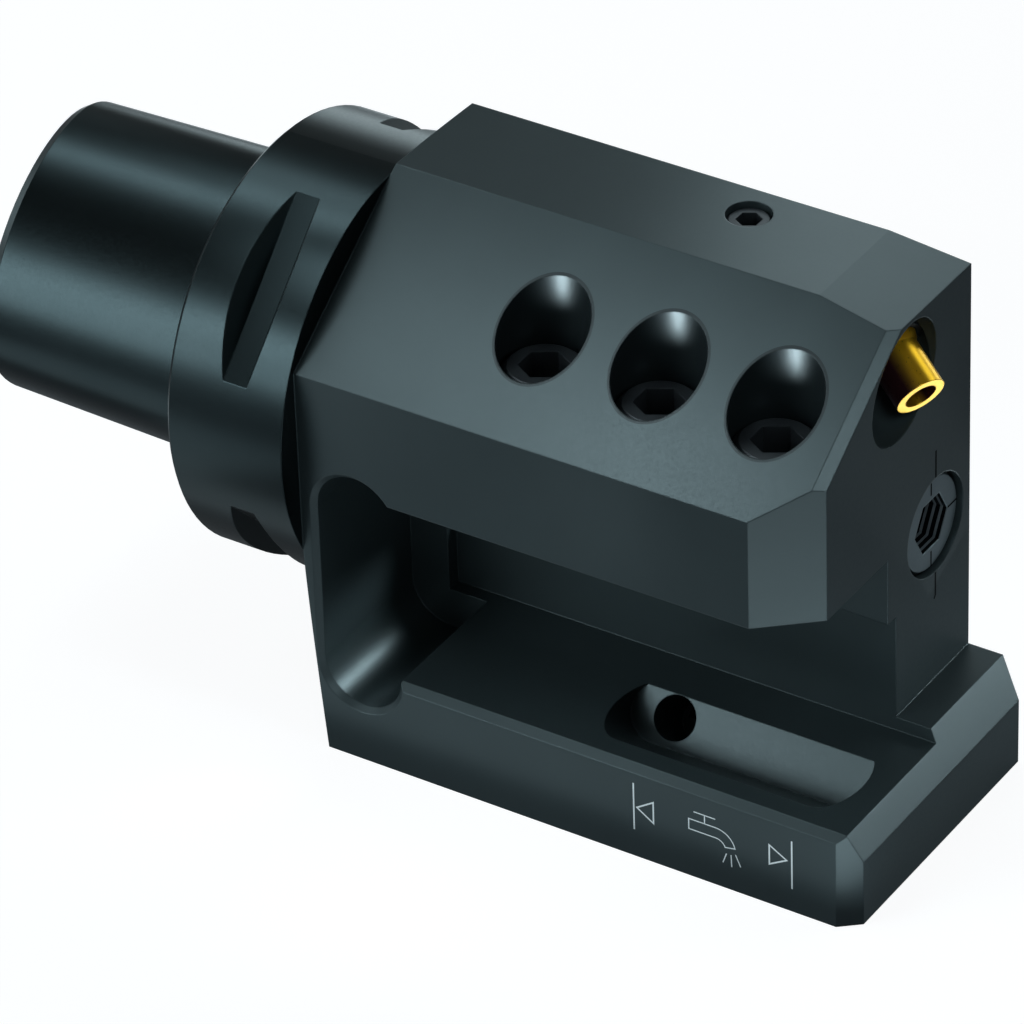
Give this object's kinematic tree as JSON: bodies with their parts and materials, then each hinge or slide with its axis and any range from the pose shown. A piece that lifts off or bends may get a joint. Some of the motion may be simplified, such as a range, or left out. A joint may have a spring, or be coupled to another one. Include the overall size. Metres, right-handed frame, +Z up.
{
  "type": "axial tool adapter",
  "caption": "Block tool adapter with a polygonal taper shank, three clamping screws over a square tool pocket, a coolant nozzle and a coolant valve.",
  "frame": {"origin": "centre of the flange's contact face, on the shank axis", "axes": "+X along the shank axis towards the tool, +Y away from the pocket's open side, +Z up towards the clamping screws"},
  "size_m": [0.144, 0.063, 0.0802],
  "materials": {
    "blackened_steel": "blackened satin",
    "screw_steel": "black oxide",
    "satin_steel": "satin",
    "bright_steel": "turned",
    "brass": "turned and polished",
    "seal_ring": "smooth",
    "rubber": "smooth"
  },
  "bodies": {
    "adapter": {"adapter_body": "blackened_steel", "nozzle_retainer": "screw_steel", "nozzle_seat_ring": "seal_ring", "valve_stop_screw": "screw_steel", "channel_plug_top": "screw_steel", "channel_plug_bottom": "screw_steel", "channel_plug_side": "screw_steel", "coolant_tube": "bright_steel", "tube_seal": "rubber"},
    "pad_rear": {"thrust_pad_rear": "bright_steel"},
    "pad_middle": {"thrust_pad_middle": "bright_steel"},
    "pad_front": {"thrust_pad_front": "bright_steel"},
    "screw_rear": {"clamp_screw_rear": "screw_steel"},
    "screw_middle": {"clamp_screw_middle": "screw_steel"},
    "screw_front": {"clamp_screw_front": "screw_steel"},
    "nozzle": {"coolant_nozzle": "brass"},
    "valve": {"valve_spindle": "satin_steel", "valve_seal_front": "rubber", "valve_seal_rear": "rubber"}
  },
  "joints": [
    {"name": "clamp_feed_rear", "type": "slide", "parent": "adapter", "child": "pad_rear", "axis": [0, 0, -1], "range_m": [0, 0.00525]},
    {"name": "clamp_turn_rear", "type": "hinge", "parent": "pad_rear", "child": "screw_rear", "pos_m": [0.0505, -0.014, 0], "axis": [0, 0, -1], "range_deg": [0, 1080]},
    {"name": "clamp_feed_middle", "type": "slide", "parent": "adapter", "child": "pad_middle", "axis": [0, 0, -1], "range_m": [0, 0.00525]},
    {"name": "clamp_turn_middle", "type": "hinge", "parent": "pad_middle", "child": "screw_middle", "pos_m": [0.0685, -0.014, 0], "axis": [0, 0, -1], "range_deg": [0, 1080]},
    {"name": "clamp_feed_front", "type": "slide", "parent": "adapter", "child": "pad_front", "axis": [0, 0, -1], "range_m": [0, 0.00525]},
    {"name": "clamp_turn_front", "type": "hinge", "parent": "pad_front", "child": "screw_front", "pos_m": [0.0865, -0.014, 0], "axis": [0, 0, -1], "range_deg": [0, 1080]},
    {"name": "nozzle_tilt", "type": "hinge", "parent": "adapter", "child": "nozzle", "pos_m": [0.0921, 0.0046, 0.0243], "axis": [0.4226, 0.9063, 0], "range_deg": [-12, 8]},
    {"name": "valve_turn", "type": "hinge", "parent": "adapter", "child": "valve", "pos_m": [0.0973, 0.0081, -0.0054], "axis": [1, 0, 0], "range_deg": [0, 90]}
  ],
  "couplings": [
    {"joint": "clamp_feed_rear", "follows": "clamp_turn_rear", "m_per_rad": 0.00027852},
    {"joint": "clamp_feed_middle", "follows": "clamp_turn_middle", "m_per_rad": 0.00027852},
    {"joint": "clamp_feed_front", "follows": "clamp_turn_front", "m_per_rad": 0.00027852}
  ]
}
